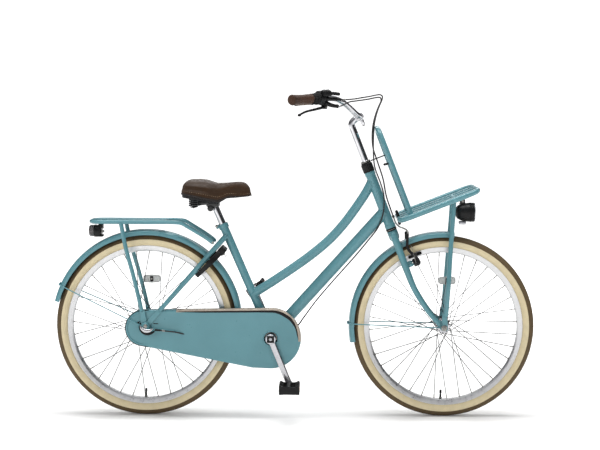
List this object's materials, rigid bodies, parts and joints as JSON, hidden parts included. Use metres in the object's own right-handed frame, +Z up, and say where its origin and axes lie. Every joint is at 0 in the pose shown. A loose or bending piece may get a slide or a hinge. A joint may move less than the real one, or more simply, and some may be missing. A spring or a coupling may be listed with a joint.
{
  "type": "dutch city bicycle",
  "caption": "Step-through city bicycle with front and rear carriers, closed chain case, full fenders, ring lock, sprung saddle and swept-back handlebar; wheels, cranks and steering move.",
  "frame": {"origin": "on the ground, half-way between the rearmost and the foremost point of the bicycle, in its middle plane", "axes": "+X forward in the riding direction, +Y to the rider's left, +Z up; the chain case is on the -Y side"},
  "size_m": [1.7282, 0.6028, 1.172],
  "materials": {
    "paint": "gloss",
    "black_plastic": "satin",
    "black_steel": "satin",
    "chrome": "polished",
    "alloy": "satin",
    "steel": "zinc plated",
    "saddle_cover": "matte",
    "grip": "stitched, matte",
    "tyre": "matte tread with cream sidewall",
    "reflector": "prismatic"
  },
  "bodies": {
    "frame": {"head_tube": "paint", "top_tube": "paint", "down_tube": "paint", "seat_tube": "paint", "bottom_bracket_shell": "paint", "chainstays": "paint", "seatstays": "paint", "seat_clamp": "paint", "headset_upper_cup": "black_plastic", "headset_lower_cup": "black_plastic", "rear_fender": "paint", "rear_fender_stay": "paint", "rear_carrier": "paint", "rear_light": "black_plastic", "chain_case_outer": "paint", "chain_case_inner": "paint", "chain": "steel", "lock_body": "black_plastic", "gear_cable": "black_plastic", "gear_changer": "black_plastic", "rear_axle": "steel"},
    "lock_bolt": {"lock_shackle": "steel"},
    "seat": {"seatpost": "chrome", "saddle_undercarriage": "black_steel", "saddle_base": "black_plastic", "saddle_cover": "saddle_cover"},
    "crankset": {"crank_axle": "steel", "right_crank": "alloy", "left_crank": "alloy", "chainring": "steel"},
    "right_pedal_body": {"right_pedal": "black_plastic"},
    "left_pedal_body": {"left_pedal": "black_plastic"},
    "sprocket": {"rear_sprocket": "steel"},
    "rear_wheel": {"rear_tyre": "tyre", "rear_rim": "alloy", "rear_spokes": "steel", "rear_hub": "alloy", "rear_reflector": "reflector"},
    "steering": {"fork": "paint", "stem": "chrome", "handlebar": "chrome", "right_grip": "grip", "left_grip": "grip", "brake_lever_bracket": "black_plastic", "shifter_housing": "black_plastic", "front_fender": "paint", "front_fender_stay": "paint", "front_carrier": "paint", "headlight": "black_plastic", "front_axle": "steel", "front_brake_cable": "black_plastic"},
    "shifter_collar": {"twist_shifter": "black_plastic"},
    "lever": {"brake_lever": "alloy"},
    "right_brake": {"right_brake_arm": "black_plastic"},
    "left_brake": {"left_brake_arm": "black_plastic"},
    "front_wheel": {"front_tyre": "tyre", "front_rim": "alloy", "front_spokes": "steel", "front_hub": "alloy", "front_reflector": "reflector"}
  },
  "joints": [
    {"name": "seatpost_height", "type": "slide", "parent": "frame", "child": "seat", "axis": [-0.4024, 0, 0.9155], "range_m": [-0.03, 0.07]},
    {"name": "crank_spin", "type": "hinge", "parent": "frame", "child": "crankset", "pos_m": [-0.0825, 0, 0.2865], "axis": [0, 1, 0], "continuous": true},
    {"name": "right_pedal_spin", "type": "hinge", "parent": "crankset", "child": "right_pedal_body", "pos_m": [-0.0164, -0.141, 0.12771], "axis": [0, 1, 0], "continuous": true},
    {"name": "left_pedal_spin", "type": "hinge", "parent": "crankset", "child": "left_pedal_body", "pos_m": [-0.1486, 0.141, 0.44529], "axis": [0, 1, 0], "continuous": true},
    {"name": "sprocket_spin", "type": "hinge", "parent": "frame", "child": "sprocket", "pos_m": [-0.5305, -0.045, 0.327], "axis": [0, 1, 0], "continuous": true},
    {"name": "rear_wheel_spin", "type": "hinge", "parent": "frame", "child": "rear_wheel", "pos_m": [-0.5305, 0, 0.327], "axis": [0, 1, 0], "continuous": true},
    {"name": "steering_turn", "type": "hinge", "parent": "frame", "child": "steering", "pos_m": [0.3494, 0, 0.6711], "axis": [-0.3633, 0, 0.9317], "range_deg": [-60, 60], "deforming": ["gear_cable"]},
    {"name": "front_wheel_spin", "type": "hinge", "parent": "steering", "child": "front_wheel", "pos_m": [0.5371, 0, 0.327], "axis": [0, 1, 0], "continuous": true},
    {"name": "twist_shift", "type": "hinge", "parent": "steering", "child": "shifter_collar", "pos_m": [0.06975, -0.20309, 1.1413], "axis": [-0.6539, -0.7551, -0.0467], "range_deg": [0, 60]},
    {"name": "brake_pull", "type": "hinge", "parent": "steering", "child": "lever", "pos_m": [0.10469, -0.16274, 1.11277], "axis": [-0.756, 0.6546, 0], "range_deg": [0, 10], "stiffness_Nm_per_rad": 1, "springref_deg": -17.19},
    {"name": "right_arm_swing", "type": "hinge", "parent": "steering", "child": "right_brake", "pos_m": [0.44016, -0.043, 0.55944], "axis": [-0.9317, 0, -0.3633], "range_deg": [0, 6]},
    {"name": "left_arm_swing", "type": "hinge", "parent": "steering", "child": "left_brake", "pos_m": [0.44016, 0.043, 0.55944], "axis": [0.9317, 0, 0.3633], "range_deg": [0, 6]},
    {"name": "lock_close", "type": "hinge", "parent": "frame", "child": "lock_bolt", "pos_m": [-0.30335, 0, 0.55056], "axis": [-0.7502, 0, 0.6612], "range_deg": [0, 84]}
  ],
  "couplings": [
    {"joint": "sprocket_spin", "follows": "crank_spin", "ratio": 2.2239},
    {"joint": "right_arm_swing", "follows": "brake_pull", "ratio": 0.5},
    {"joint": "left_arm_swing", "follows": "brake_pull", "ratio": 0.5}
  ]
}
